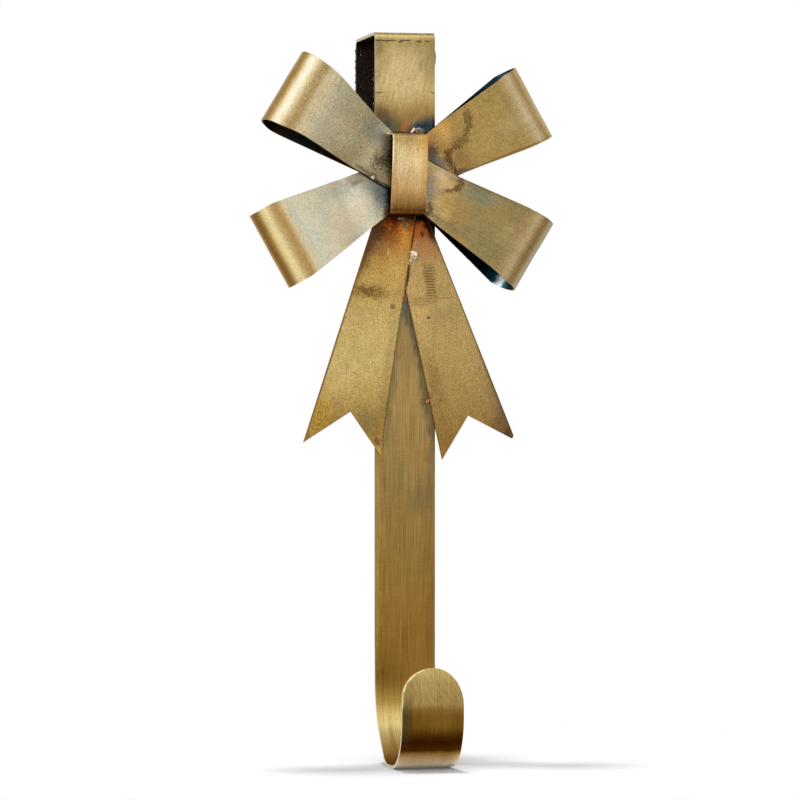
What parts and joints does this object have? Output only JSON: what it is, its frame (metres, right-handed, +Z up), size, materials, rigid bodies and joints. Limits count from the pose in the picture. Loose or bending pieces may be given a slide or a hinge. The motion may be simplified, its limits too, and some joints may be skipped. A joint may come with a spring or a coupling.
{
  "type": "wreath hanger",
  "caption": "Over-the-door wreath hanger: a folded brass strap with a padded door channel above, a rounded hook below and a bent sheet-metal bow with swallow-tail ends in front.",
  "frame": {"origin": "middle of the strap's underside where it rests on the top edge of the door", "axes": "+Z up, +Y through the door from its front to its back, +X to the right seen from the front; the bow faces -Y"},
  "size_m": [0.1527, 0.1191, 0.363],
  "materials": {
    "strap_brass": "brushed lengthwise, aged",
    "bow_brass": "satin, speckled and heat tinted",
    "knot_brass": "brushed lengthwise",
    "tail_brass": "satin, speckled and heat tinted",
    "weld_metal": "rough bright beads",
    "black_felt": "fuzzy"
  },
  "bodies": {
    "root": {"strap": "strap_brass", "bow_strip_front": "bow_brass", "bow_strip_back": "bow_brass", "knot_band": "knot_brass", "tail_left": "tail_brass", "tail_right": "tail_brass", "weld_beads": "weld_metal", "felt_pad_front": "black_felt", "felt_pad_back": "black_felt"}
  },
  "joints": []
}
